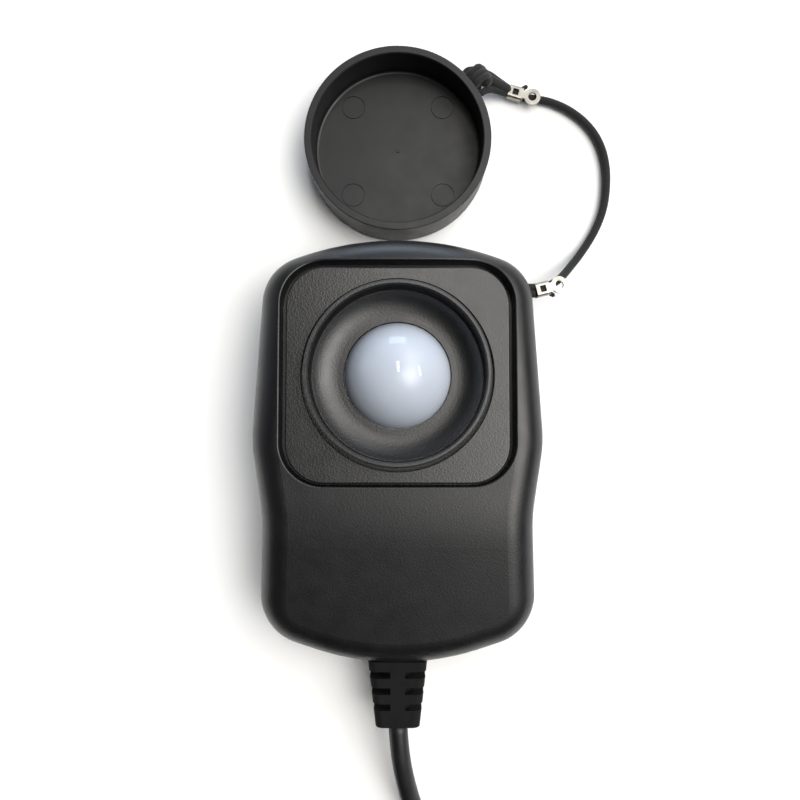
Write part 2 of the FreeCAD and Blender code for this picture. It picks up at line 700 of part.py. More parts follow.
def make_cable_entry():
    """The cable inside the case: its jacket's end, its clamp and the wires to the board."""
    start = V(0, BOOT_END, CABLE_Z)
    end = V(0, JACKET_END, CABLE_Z)
    radius = CABLE_DIAMETER / 2
    front = CLAMP_Y - CLAMP_HALF_Y
    back = CLAMP_Y + CLAMP_HALF_Y
    clamp = box(-CLAMP_HALF_X, CLAMP_HALF_X, front, back, CLAMP_SEAT, CLAMP_TOP)
    clamp = clamp.cut(rod(radius, V(0, front - 1, CABLE_Z), V(0, back + 1, CABLE_Z)))
    clamp = clamp.cut(box(-radius, radius, front - 1, back + 1, 0, CABLE_Z))
    clamp_screws = []
    for x in (-CLAMP_SCREW_X, CLAMP_SCREW_X):
        clamp = clamp.cut(post(SMALL_SCREW[0] + 0.1, x, CLAMP_Y, 0, 20))
        clamp_screws.append(screw(SMALL_SCREW, x, CLAMP_Y, CLAMP_TOP, -9.0))
    parts = {
        "cable_entry": rod(CABLE_DIAMETER / 2, start, end),
        "cable_clamp": clamp,
        "clamp_screws": group(clamp_screws),
    }
    wires = {"signal_wire": (1.1, 5.0), "ground_wire": (-1.1, -5.0), "shield_tail": (0.0, 0.6)}
    for name, (near, far) in wires.items():
        route = [
            (near, JACKET_END, CABLE_Z),
            (near * 1.6 + 0.1, -39.5, 10.3),
            (far * 0.8, -32.0, 11.6),
            (far, -23.5, 11.3),
            (far + 0.3, -15.5, 9.6),
        ]
        parts[name] = cord(name, route, WIRE_DIAMETER)
    return parts


def make_plug():
    """A small jack plug that lies along -X: boot, handle, sleeve, insulator and tip."""
    boot_end = PLUG_X - PLUG_BOOT
    handle_end = boot_end - PLUG_HANDLE
    sleeve_end = handle_end - PLUG_SLEEVE
    insulator_end = sleeve_end - PLUG_INSULATOR
    back = V(-1, 0, 0)
    boot = Part.makeCone(*PLUG_BOOT_RADII, PLUG_BOOT, V(PLUG_X, PLUG_Y, PLUG_Z), back)
    for index in range(3):
        place = PLUG_X - 1.4 - 1.9 * index
        groove = Part.makeCylinder(5, 0.8, V(place, PLUG_Y, PLUG_Z), back)
        core = Part.makeCylinder(PLUG_BOOT_RADII[0] - 0.3 + 0.12 * index, 0.8, V(place, PLUG_Y, PLUG_Z), back)
        boot = boot.cut(groove.cut(core))
    handle = Part.makeCylinder(PLUG_HANDLE_RADIUS, PLUG_HANDLE, V(boot_end, PLUG_Y, PLUG_Z), back)
    handle = handle.makeChamfer(0.6, [edge for edge in handle.Edges if edge.Closed])
    for index in range(5):
        place = boot_end - 3.0 - 1.6 * index
        groove = Part.makeTorus(PLUG_HANDLE_RADIUS + 0.1, 0.4, V(place, PLUG_Y, PLUG_Z), back)
        handle = handle.cut(groove)
    shank = PLUG_SHANK_RADIUS
    sleeve = Part.makeCylinder(shank, PLUG_SLEEVE, V(handle_end, PLUG_Y, PLUG_Z), back)
    insulator = Part.makeCylinder(shank, PLUG_INSULATOR, V(sleeve_end, PLUG_Y, PLUG_Z), back)
    profile = [(0, 0), (shank, 0), (shank, 0.7), (1.2, 1.5), (shank, 2.3), (0.7, PLUG_TIP), (0, PLUG_TIP)]
    corners = [V(r, 0, z) for r, z in profile]
    tip = Part.Face(Part.makePolygon(corners + corners[:1])).revolve(V(0, 0, 0), V(0, 0, 1), 360)
    tip.Placement = FreeCAD.Placement(
        V(insulator_end, PLUG_Y, PLUG_Z), FreeCAD.Rotation(V(0, 0, 1), back)
    )
    return {
        "plug_boot": boot,
        "plug_handle": handle,
        "plug_sleeve": sleeve,
        "plug_insulator": insulator,
        "plug_tip": tip,
    }


def make_cable():
    """The free cable: the stretch from the boot, the coil in its tie, the tail and the plug."""
    mean = (COIL_INNER + COIL_OUTER) / 2
    half = (COIL_OUTER - COIL_INNER) / 2
    corners = [
        V(mean - half, 0, 0),
        V(mean - half, 0, COIL_HEIGHT),
        V(mean + half, 0, COIL_HEIGHT),
        V(mean + half, 0, 0),
    ]
    coil = Part.Face(rounded_loop([(corner, COIL_ROUNDING) for corner in corners])).revolve(V(0, 0, 0), V(0, 0, 1), 360)
    coil.translate(V(COIL_X, COIL_Y, 0))
    tie = box(
        COIL_X - COIL_OUTER - TIE_THICKNESS,
        COIL_X - COIL_INNER + TIE_THICKNESS,
        COIL_Y - TIE_WIDTH / 2,
        COIL_Y + TIE_WIDTH / 2,
        0,
        COIL_HEIGHT + TIE_THICKNESS,
    )
    tie = tie.cut(
        box(
            COIL_X - COIL_OUTER,
            COIL_X - COIL_INNER,
            COIL_Y - TIE_WIDTH,
            COIL_Y + TIE_WIDTH,
            TIE_THICKNESS,
            COIL_HEIGHT,
        )
    )
    coil = coil.cut(tie)
    return {
        "cable_lead": cord("cable_lead", CABLE_ROUTE, CABLE_DIAMETER),
        "cable_coil": coil,
        "coil_tie": tie,
        "cable_tail": cord("cable_tail", TAIL_ROUTE, CABLE_DIAMETER),
    }


# ---- Cap and tether ----


def make_cap():
    """The round cap with a loop-shaped lug on its wall."""
    edge = 1.1
    corner = 0.6
    outline = [
        (V(0, 0, 0), 0),
        (V(CAP_OUTER, 0, 0), edge),
        (V(CAP_OUTER, 0, CAP_HEIGHT), CAP_BREAK),
        (V(CAP_INNER + CAP_BREAK, 0, CAP_HEIGHT), 0),
        (V(CAP_INNER, 0, CAP_HEIGHT - CAP_BREAK), 0),
        (V(CAP_INNER, 0, CAP_FLOOR), corner),
        (V(0, 0, CAP_FLOOR), 0),
    ]
    cap = Part.Face(rounded_loop(outline)).revolve(V(0, 0, 0), V(0, 0, 1), 360)
    for x in (-EJECTOR_MARK_SPACING, EJECTOR_MARK_SPACING):
        for y in (-EJECTOR_MARK_SPACING, EJECTOR_MARK_SPACING):
            mark = post(EJECTOR_MARK_RADIUS, x, y, CAP_FLOOR - EJECTOR_MARK_DEPTH, CAP_HEIGHT)
            mark = mark.cut(post(EJECTOR_MARK_RADIUS - EJECTOR_MARK_LINE, x, y, 0, CAP_HEIGHT + 1))
            cap = cap.cut(mark)
    cap = cap.fuse(Part.makeCone(*GATE_MARK, V(0, 0, CAP_FLOOR)))
    lug = box(CAP_OUTER - 0.7, CAP_OUTER + LUG_OUT, -LUG_HALF_WIDTH, LUG_HALF_WIDTH, LUG_LOW, LUG_HIGH)
    outer_edges = [e for e in lug.Edges if e.BoundBox.XMin > CAP_OUTER + 3 and e.BoundBox.ZLength > 1]
    lug = lug.makeFillet(1.5, outer_edges)
    lug = lug.cut(box(CAP_OUTER, CAP_OUTER + LUG_HOLE_OUT, -5, 5, LUG_HOLE_LOW, LUG_HOLE_HIGH))
    lug = lug.rotate(V(0, 0, 0), V(0, 0, 1), CAP_LUG_ANGLE)
    cap = cap.fuse(lug)
    cap.translate(V(0, CAP_Y, 0))
    return cap


def make_crimp():
    """A ring-tongue crimp along +X: a flat box that clamps the cord, and a ring level with its top."""
    half_y = CRIMP_WIDTH / 2
    half_z = CRIMP_THICKNESS / 2
    barrel = box(0, CRIMP_LENGTH, -half_y, half_y, -half_z, half_z)
    long_edges = [edge for edge in barrel.Edges if edge.BoundBox.XLength > 1]
    barrel = barrel.makeFillet(0.6, long_edges)
    bore_y = half_y - CRIMP_METAL
    bore_z = half_z - CRIMP_METAL
    barrel = barrel.cut(box(-1, CRIMP_LENGTH + 1, -bore_y, bore_y, -bore_z, bore_z))
    hole = CRIMP_HOLE / 2
    middle = CRIMP_LENGTH / 2
    barrel = barrel.cut(box(middle - hole, middle + hole, -hole, hole, 0, 3))
    centre = CRIMP_LENGTH + RING_NECK + RING_OUTER
    low = half_z - RING_THICKNESS
    tongue = Part.makeCylinder(RING_OUTER, RING_THICKNESS, V(centre, 0, low))
    tongue = tongue.fuse(box(CRIMP_LENGTH - 0.2, centre, -0.9, 0.9, bore_z, half_z))
    tongue = tongue.cut(Part.makeCylinder(RING_INNER, 3, V(centre, 0, -1)))
    return barrel.fuse(tongue)


def squeezed_cord(length):
    """The flattened cord inside a crimp, along +X."""
    half_y = CRIMP_WIDTH / 2 - CRIMP_METAL - 0.02
    half_z = CRIMP_THICKNESS / 2 - CRIMP_METAL - 0.02
    return box(0, length, -half_y, half_y, -half_z, half_z)


def make_tether():
    """The cord between case and cap, its two crimps and the folded cord at each end."""
    half = STRAND_DIAMETER / 2
    case_start, case_aim = CASE_CRIMP
    cap_start, cap_aim = CAP_CRIMP
    fold = Part.makeSphere(KNOT_RADIUS, V(KNOT_X, TETHER_Y, CABLE_Z))
    for side in (-0.95 * half, 0.95 * half):
        start = V(KNOT_X, TETHER_Y + side, CABLE_Z)
        fold = fold.fuse(rod(half, start, V(case_start.x - 0.05, TETHER_Y + side, CABLE_Z)))
    case_stub = rod(STUB_RADIUS, *CASE_STUB)
    cap_stub = rod(STUB_RADIUS, *CAP_STUB)
    case_core = placed(squeezed_cord(CRIMP_LENGTH), case_start, case_aim)
    cap_core = placed(squeezed_cord(CRIMP_LENGTH), cap_start, cap_aim)
    return {
        "tether_knot": group([fold, case_core, case_stub]),
        "tether_crimp_case": placed(make_crimp(), case_start, case_aim),
        "tether_cord": cord("tether_cord", TETHER_ROUTE, TETHER_DIAMETER),
        "tether_crimp_cap": placed(make_crimp(), cap_start, cap_aim),
        "tether_loop": group([make_loop(), cap_core, cap_stub]),
    }


def make_loop():
    """The folded cord that runs from its crimp through the cap's lug and back."""
    angle = math.radians(CAP_LUG_ANGLE)
    outward = V(math.cos(angle), math.sin(angle), 0)
    along = V(-math.sin(angle), math.cos(angle), 0)
    centre = V(0, CAP_Y, 0)
    inside = CAP_OUTER + 1.05
    path = [
        V(25.2, 67.7, 1.5),
        V(22.2, 68.7, 2.7),
        V(19.6, 69.3, 3.9),
        centre + outward * (inside + 1.5) + along * 3.6 + V(0, 0, 4.6),
        centre + outward * inside + along * 2.7 + V(0, 0, 4.7),
        centre + outward * inside - along * 2.7 + V(0, 0, 4.7),
        centre + outward * (inside + 1.3) - along * 3.7 + V(0, 0, 4.3),
        V(21.7, 65.5, 3.1),
        V(25.2, 66.1, 1.5),
    ]
    return cord("tether_loop", [tuple(point) for point in path], STRAND_DIAMETER)


# ---- The whole assembly ----


def main():
    parts = {}
    parts.update(make_case())
    parts.update(make_bezel())
    parts["dish_insert"] = make_dish()
    parts["diffuser_dome"] = make_dome()
    parts.update(make_optics())
    parts.update(make_board())
    parts["strain_relief"] = make_boot()
    parts.update(make_cable_entry())
    parts.update(make_cable())
    parts.update(make_plug())
    parts["cap"] = make_cap()
    parts.update(make_tether())
    os.makedirs("parts", exist_ok=True)
    for name, shape in parts.items():
        if not shape.isValid() or shape.Volume <= 0:
            print("CHECK", name, "valid", shape.isValid(), "volume", shape.Volume)
        shape.exportStep("parts/" + name + ".step")
        limits = shape.BoundBox
        print(name, len(shape.Solids), [round(v, 2) for v in (limits.XMin, limits.YMin, limits.ZMin)],
              [round(v, 2) for v in (limits.XMax, limits.YMax, limits.ZMax)])


main()
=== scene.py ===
import bpy
import json
import math
from mathutils import Matrix, Vector


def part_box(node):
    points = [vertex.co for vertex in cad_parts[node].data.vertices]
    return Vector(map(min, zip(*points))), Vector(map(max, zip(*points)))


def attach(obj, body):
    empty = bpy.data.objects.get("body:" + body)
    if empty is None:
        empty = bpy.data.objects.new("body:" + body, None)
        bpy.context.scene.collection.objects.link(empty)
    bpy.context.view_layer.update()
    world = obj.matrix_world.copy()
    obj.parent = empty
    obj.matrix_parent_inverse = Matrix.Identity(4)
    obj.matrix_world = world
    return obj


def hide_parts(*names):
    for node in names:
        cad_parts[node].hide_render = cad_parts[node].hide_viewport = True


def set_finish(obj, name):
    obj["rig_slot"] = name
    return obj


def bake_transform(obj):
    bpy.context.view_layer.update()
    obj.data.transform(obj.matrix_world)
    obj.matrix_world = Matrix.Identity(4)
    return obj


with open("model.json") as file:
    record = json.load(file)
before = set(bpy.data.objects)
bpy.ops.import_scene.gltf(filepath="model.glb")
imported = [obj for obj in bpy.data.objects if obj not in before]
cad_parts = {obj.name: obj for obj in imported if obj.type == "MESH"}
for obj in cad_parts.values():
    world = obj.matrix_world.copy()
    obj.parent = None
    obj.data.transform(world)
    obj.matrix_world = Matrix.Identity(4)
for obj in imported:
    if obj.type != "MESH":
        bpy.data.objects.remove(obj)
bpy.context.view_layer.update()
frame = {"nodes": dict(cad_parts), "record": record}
nodes = frame["nodes"]

MM = 0.001


def mm(x, y, z):
    """A point or direction given in millimetres, in metres."""
    return Vector((x, y, z)) * MM


# ---- Camera ----

CAMERA_PLACE = mm(0.484, -11.076, 155.0)
CAMERA_TILT = math.radians(2.6)
CAMERA_LENS = 30.78


def make_camera():
    """Looks down on the head from close above it, tilted a little towards the cap."""
    data = bpy.data.cameras.new("camera")
    data.lens = CAMERA_LENS
    data.sensor_width = 36.0
    data.clip_start = 0.01
    data.clip_end = 20.0
    camera = bpy.data.objects.new("camera", data)
    camera.location = CAMERA_PLACE
    camera.rotation_euler = (CAMERA_TILT, 0, 0)
    bpy.context.scene.collection.objects.link(camera)
    bpy.context.scene.camera = camera


make_camera()


# ---- Mesh helpers ----


def add_mesh(name, points, faces):
    """A new mesh object in the scene, shaded smooth."""
    mesh = bpy.data.meshes.new(name)
    mesh.from_pydata([tuple(p) for p in points], [], faces)
    mesh.validate()
    mesh.update()
    for polygon in mesh.polygons:
        polygon.use_smooth = True
    piece = bpy.data.objects.new(name, mesh)
    bpy.context.scene.collection.objects.link(piece)
    return piece


def nurbs(name, route, resolution):
    """A curve object whose one smooth open spline has the route's points as its control points."""
    data = bpy.data.curves.new(name, "CURVE")
    data.dimensions = "3D"
    data.resolution_u = resolution
    spline = data.splines.new("NURBS")
    spline.points.add(len(route) - 1)
    for point, place in zip(spline.points, route):
        point.co = (*place, 1.0)
    spline.order_u = 3
    spline.use_endpoint_u = True
    curve = bpy.data.objects.new(name, data)
    bpy.context.scene.collection.objects.link(curve)
    return curve


def line_of(route, resolution):
    """The points that a route's smooth spline runs through."""
    curve = nurbs("guide", route, resolution)
    mesh = bpy.data.meshes.new_from_object(curve)
    line = [vertex.co.copy() for vertex in mesh.vertices]
    bpy.data.objects.remove(curve)
    bpy.data.meshes.remove(mesh)
    return line


def frames_along(line):
    """For each point of a line: its distance along it, and two directions square to it."""
    found = []
    along = 0.0
    side = None
    for index, point in enumerate(line):
        before = line[max(index - 1, 0)]
        after = line[min(index + 1, len(line) - 1)]
        direction = (after - before).normalized()
        if side is None:
            side = direction.orthogonal().normalized()
        side = (side - direction * side.dot(direction)).normalized()
        found.append((along, side, direction.cross(side)))
        if index + 1 < len(line):
            along += (line[index + 1] - point).length
    return found


def tube(name, line, radius_at, around):
    """A closed tube along a line. radius_at gives the radius for a distance along and an angle around."""
    places = frames_along(line)
    points = []
    for centre, (along, side, up) in zip(line, places):
        for step in range(around):
            angle = 2 * math.pi * step / around
            spoke = side * math.cos(angle) + up * math.sin(angle)
            points.append(centre + spoke * radius_at(along, angle))
    faces = []
    for row in range(len(line) - 1):
        for step in range(around):
            following = (step + 1) % around
            a = row * around + step
            b = row * around + following
            faces.append((a, b, b + around, a + around))
    last = (len(line) - 1) * around
    faces.append(tuple(reversed(range(around))))
    faces.append(tuple(range(last, last + around)))
    return add_mesh(name, points, faces)


BRAID_STRANDS = 8
BRAID_PITCH = 5.6 * MM
BRAID_DEPTH = 0.09 * MM
BRAID_SIDES_PER_STRAND = 6
# Height of a strand beside the strand that it crosses, and thickness of a tapered end, as shares of the whole
BRAID_SHOULDER = 0.62
BRAID_END = 0.55


def braid_height(along, angle):
    """From 0 between a braid's strands to 1 on top of one: two opposite helices that cross over and under."""
    turn = angle / (2 * math.pi)
    rise = along / BRAID_PITCH
    left = BRAID_STRANDS * (turn + rise)
    right = BRAID_STRANDS * (turn - rise)
    left_part = math.sin(math.pi * (left % 1.0))
    right_part = math.sin(math.pi * (right % 1.0))
    if (math.floor(left) + math.floor(right)) % 2:
        left_part, right_part = right_part, left_part
    return left_part * (BRAID_SHOULDER + (1 - BRAID_SHOULDER) * right_part)


def braid(name, line, diameter, end_taper=0.0):
    """A braided cord: a tube whose surface follows its crossing strands, and narrows over end_taper."""
    length = frames_along(line)[-1][0]

    def radius_at(along, angle):
        height = braid_height(along, angle)
        radius = diameter / 2 - BRAID_DEPTH * (1 - height)
        if end_taper:
            radius *= min(1.0, BRAID_END + (1 - BRAID_END) * min(along, length - along) / end_taper)
        return radius

    return tube(name, line, radius_at, BRAID_SIDES_PER_STRAND * BRAID_STRANDS)


# ---- Routes of the cords, as in the CAD source ----

CABLE_DIAMETER = 4.0 * MM
CABLE_SIDES = 20
TETHER_DIAMETER = 1.8 * MM
STRAND_DIAMETER = 1.6 * MM

# Steps that each cord's spline takes from one point of its route to the next
CABLE_STEPS = 6
TETHER_STEPS = 46
LOOP_STEPS = 32
WRAP_STEPS = 24

CABLE_ROUTE = [
    mm(0.0, -71.7, 9.0),
    mm(0.35, -77.7, 8.8),
    mm(1.5, -84.7, 6.9),
    mm(3.4, -92.2, 4.2),
    mm(6.7, -100.4, 2.3),
    mm(10.9, -108.6, 2.05),
    mm(14.4, -116.8, 2.05),
    mm(16.0, -124.6, 2.05),
]
TAIL_ROUTE = [
    mm(15.4, -132.8, 10.0),
    mm(13.3, -142.4, 9.3),
    mm(8.8, -151.4, 7.1),
    mm(1.8, -158.8, 5.1),
    mm(-6.8, -163.6, 4.2),
    mm(-15.0, -165.0, 4.0),
]
TETHER_ROUTE = [
    mm(32.55, 20.35, 7.75),
    mm(34.4, 21.35, 6.9),
    mm(36.3, 23.0, 5.5),
    mm(38.2, 25.2, 3.7),
    mm(40.5, 27.9, 2.1),
    mm(42.8, 31.0, 1.1),
    mm(45.1, 34.8, 0.95),
    mm(46.9, 39.3, 0.95),
    mm(47.7, 44.4, 0.95),
    mm(47.7, 49.7, 0.95),
    mm(46.5, 54.7, 0.95),
    mm(43.9, 58.9, 0.95),
    mm(40.1, 62.2, 0.95),
    mm(35.9, 64.3, 0.95),
    mm(32.1, 65.2, 0.95),
    mm(28.75, 65.6, 0.95),
]

# The coil: its centre, and the cell (radius, height, in mm) that each turn lies in, from the lead to the tail
COIL_CENTRE = mm(-12.0, -127.0, 0.0)
COIL_CELLS = [(28, 2), (28, 6), (24, 6), (24, 2), (20, 2), (20, 6), (20, 10), (24, 10), (28, 10)]
COIL_STEPS = 24
COIL_CHANGE = math.radians(42)
# Away from the tie the turns spread from the middle radius by a share, and wander in and out by so many mm
COIL_MIDDLE_RADIUS = 24
COIL_SPREAD = 0.05
COIL_WANDER = 0.22
COIL_WANDER_RATE = 0.37
COIL_WANDER_START = 0.8
COIL_LEAD_ANGLE = math.radians(5.0)
COIL_TAIL_ANGLE = math.radians(-12.0)
TIE_LIFT = 0.8


def coil_cell(turned):
    """Radius and height in mm after turning by an angle from the coil's first point of change."""
    passes = turned / (2 * math.pi)
    index = math.floor(passes + 0.5)
    offset = (passes - index) * 2 * math.pi
    share = min(max(offset / COIL_CHANGE + 0.5, 0.0), 1.0)
    share = share * share * (3 - 2 * share)
    last = len(COIL_CELLS) - 1
    before = COIL_CELLS[min(max(index, 0), last)]
    after = COIL_CELLS[min(max(index + 1, 0), last)]
    radius = before[0] + (after[0] - before[0]) * share
    height = before[1] + (after[1] - before[1]) * share
    return radius, height


def coil_route():
    """The coil's turns, wound clockwise as seen from above, changing cell under the tie on the left."""
    turns = len(COIL_CELLS) - 1
    total = turns * 2 * math.pi + COIL_LEAD_ANGLE - COIL_TAIL_ANGLE
    count = round(total / (2 * math.pi) * COIL_STEPS)
    route = []
    for step in range(1, count):
        swept = total * step / count
        angle = COIL_LEAD_ANGLE - swept
        turned = swept - COIL_LEAD_ANGLE - math.pi
        radius, height = coil_cell(turned)
        # 1 on the right of the coil, 0 at the tie
        slack = 0.5 + 0.5 * math.cos(angle)
        wander = COIL_WANDER * math.sin(swept * COIL_WANDER_RATE + COIL_WANDER_START) * slack
        radius += (radius - COIL_MIDDLE_RADIUS) * COIL_SPREAD * slack + wander
        lift = TIE_LIFT * (1 - slack) ** 2
        place = mm(radius * math.cos(angle), radius * math.sin(angle), height + lift)
        route.append(COIL_CENTRE + place)
    return route


def make_cable():
    """One cable from the boot through the coil to the plug."""
    line = line_of(CABLE_ROUTE + coil_route() + TAIL_ROUTE, CABLE_STEPS)
    cable = tube("cable", line, lambda along, angle: CABLE_DIAMETER / 2, CABLE_SIDES)
    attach(cable, "housing")
    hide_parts("cable_lead", "cable_coil", "cable_tail")
    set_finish(cable, "cable_jacket")
    return cable, line


def make_tether():
    """The braided cord that joins the cap to the case."""
    line = line_of(TETHER_ROUTE, TETHER_STEPS)
    tether = braid("tether", line, TETHER_DIAMETER)
    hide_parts("tether_cord")
    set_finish(tether, "braid")
    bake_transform(tether)
    return tether


cable, cable_line = make_cable()
tether = make_tether()


# ---- Pieces on the cords ----


def joined(name, pieces):
    """Several mesh objects as one."""
    points = []
    faces = []
    for piece in pieces:
        start = len(points)
        points += [vertex.co.copy() for vertex in piece.data.vertices]
        faces += [tuple(start + i for i in polygon.vertices) for polygon in piece.data.polygons]
    for piece in pieces:
        bpy.data.objects.remove(piece)
    return add_mesh(name, points, faces)


CASE_CRIMP = (mm(29.54, 19.05, 9.0), mm(35.05, 20.58, 7.6))
CAP_CRIMP = (mm(25.35, 66.7, 1.5), mm(30.4, 65.15, 1.5))
CRIMP_LENGTH = 3.2 * MM
CORE_DIAMETER = 2.3 * MM
CORE_START = 0.05 * MM
CORE_END = CRIMP_LENGTH - 0.02 * MM
CORE_FLATTENED_BY = 0.52


def straight(start, end, count=24):
    """Evenly spaced points between two points."""
    return [start.lerp(end, step / count) for step in range(count + 1)]


def crimped_core(name, crimp):
    """The flattened cord that fills a crimp and shows in its hole."""
    start, aim = crimp
    direction = (aim - start).normalized()
    line = straight(start + direction * CORE_START, start + direction * CORE_END)
    core = braid(name, line, CORE_DIAMETER)
    for vertex in core.data.vertices:
        offset = vertex.co - start
        height = offset.z - direction.z * offset.dot(direction)
        vertex.co.z -= height * CORE_FLATTENED_BY
    return core


STUB_DIAMETER = 1.0 * MM
STUB_TAPER = 0.3 * MM


def cut_end(start, end, count):
    """The short thin end of a cord that sticks out of a crimp."""
    return braid("stub", straight(start, end, count), STUB_DIAMETER, STUB_TAPER)


# In mm: where the doubled cord leaves the case, how far its strands are from its middle, and its knot inside
EXIT_Y = 19.1
EXIT_Z = 9.0
EXIT_START_X = 24.1
EXIT_END_X = 29.5
EXIT_STRAND_OFFSET = 0.78
EXIT_STRANDS_CLOSE_TO = 0.95
EXIT_STEPS = 46
EXIT_KNOT_HALF = 1.2
EXIT_KNOT_DIAMETER = 3.3 * MM


def make_knot():
    """The doubled cord from its knot in the case through the slot to the first crimp, with its cut end."""
    strands = []
    for index, side in enumerate((-EXIT_STRAND_OFFSET, EXIT_STRAND_OFFSET)):
        start = mm(EXIT_START_X, EXIT_Y + side, EXIT_Z)
        end = mm(EXIT_END_X, EXIT_Y + side * EXIT_STRANDS_CLOSE_TO, EXIT_Z)
        strands.append(braid(f"strand_{index}", straight(start, end, EXIT_STEPS), STRAND_DIAMETER))
    knot_start = mm(EXIT_START_X - EXIT_KNOT_HALF, EXIT_Y, EXIT_Z)
    knot_end = mm(EXIT_START_X + EXIT_KNOT_HALF, EXIT_Y, EXIT_Z)
    knot = braid("knot", straight(knot_start, knot_end), EXIT_KNOT_DIAMETER, EXIT_KNOT_HALF * MM)
    stub = cut_end(mm(32.7, 18.85, 8.1), mm(34.0, 18.25, 7.7), 14)
    piece = joined("tether_knot_cord", strands + [knot, stub, crimped_core("core", CASE_CRIMP)])
    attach(piece, "housing")
    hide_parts("tether_knot")
    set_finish(piece, "braid")
    return piece


CAP_CENTRE = mm(0.0, 52.65, 0.0)
LUG_ANGLE = math.radians(40.0)
LUG_HOLE = 21.4
MIDDLE_DIAMETER = 2.3 * MM
MIDDLE_TAPER = 1.0 * MM
LUG_KNOT_HALF = 2.6
LUG_KNOT_DIAMETER = 3.4 * MM
LUG_KNOT_TAPER = 1.4 * MM
LUG_STEPS = 60
WRAP_DIAMETER = 1.4 * MM
WRAP_SPACING = 1.3


def make_loop():
    """The cord from the second crimp through the cap's lug and back, knotted and wrapped at the lug."""
    outward = Vector((math.cos(LUG_ANGLE), math.sin(LUG_ANGLE), 0)) * MM
    along = Vector((-math.sin(LUG_ANGLE), math.cos(LUG_ANGLE), 0)) * MM
    up = mm(0, 0, 1)
    hole = CAP_CENTRE + outward * LUG_HOLE
    route = [
        mm(25.5, 67.35, 1.5),
        mm(22.6, 68.7, 2.7),
        mm(20.3, 69.7, 3.9),
        hole + outward * 2.2 + along * 3.4 + up * 4.6,
        hole + along * 2.7 + up * 4.7,
        hole - along * 2.7 + up * 4.7,
        hole + outward * 2.3 - along * 2.8 + up * 4.3,
        mm(21.9, 66.4, 3.1),
        mm(25.5, 66.1, 1.5),
    ]
    loop = braid("loop", line_of(route, LOOP_STEPS), STRAND_DIAMETER)
    knot_middle = hole + outward * 3.2 + up * 5.2
    middle_line = straight(knot_middle, mm(25.8, 66.75, 1.6), LUG_STEPS)
    middle = braid("middle", middle_line, MIDDLE_DIAMETER, MIDDLE_TAPER)
    half_knot = along * LUG_KNOT_HALF
    knot_line = straight(knot_middle - half_knot, knot_middle + half_knot, LUG_STEPS)
    knot = braid("knot", knot_line, LUG_KNOT_DIAMETER, LUG_KNOT_TAPER)
    wraps = []
    for index in (-1, 0, 1):
        across = along * (WRAP_SPACING * index)
        over_lug = [
            hole - outward * 0.7 + across + up * 6.6,
            hole - outward * 0.2 + across + up * 7.9,
            hole + outward * 2.4 + across + up * 7.9,
            hole + outward * 3.8 + across + up * 6.4,
            hole + outward * 4.2 + across + up * 4.4,
        ]
        wraps.append(braid(f"wrap_{index}", line_of(over_lug, WRAP_STEPS), WRAP_DIAMETER))
    stub = cut_end(mm(28.3, 67.1, 1.7), mm(29.7, 68.0, 1.4), 16)
    piece = joined("tether_loop_cord", [loop, middle, knot, stub, crimped_core("core", CAP_CRIMP)] + wraps)
    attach(piece, "cap")
    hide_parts("tether_loop")
    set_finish(piece, "braid")
    return piece


STRAP_WIDTH = 5.0 * MM
STRAP_THICKNESS = 0.7 * MM
STRAP_CORNER = 2.4 * MM
STRAP_CORNER_STEPS = 8
STRAP_EDGE = 0.25 * MM
STRAP_EDGE_THICKNESS = 0.35
# The strap starts this far left of its middle; its other end begins to rise before there and lies over it
STRAP_START = 2 * MM
STRAP_RISE_BEFORE = 2.5 * MM
STRAP_RISE_RATE = 2.5
STRAP_OVERLAP = 7.5 * MM
STRAP_OVERLAP_STEPS = 10


def strap_path():
    """Centre points and outward directions of the strap in the XZ plane, once round and over its own end."""
    low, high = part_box("coil_tie")
    half = STRAP_THICKNESS / 2
    left = low.x + half
    right = high.x - half
    bottom = low.z + half
    top = high.z + TIE_LIFT * MM - half
    corners = [(right, top, 90), (right, bottom, 0), (left, bottom, -90), (left, top, -180)]
    path = [(Vector(((left + right) / 2 - STRAP_START, 0, top)), Vector((0, 0, 1)))]
    for x, z, start in corners:
        centre_x = x - STRAP_CORNER if x == right else x + STRAP_CORNER
        centre_z = z - STRAP_CORNER if z == top else z + STRAP_CORNER
        for step in range(STRAP_CORNER_STEPS + 1):
            angle = math.radians(start - 90 * step / STRAP_CORNER_STEPS)
            out = Vector((math.cos(angle), 0, math.sin(angle)))
            path.append((Vector((centre_x, 0, centre_z)) + out * STRAP_CORNER, out))
    overlap_start = path[0][0].x - STRAP_RISE_BEFORE
    for step in range(STRAP_OVERLAP_STEPS + 1):
        share = step / STRAP_OVERLAP_STEPS
        rise = STRAP_THICKNESS * min(1.0, share * STRAP_RISE_RATE)
        x = overlap_start + STRAP_OVERLAP * share
        path.append((Vector((x, 0, top + rise)), Vector((0, 0, 1))))
    return path


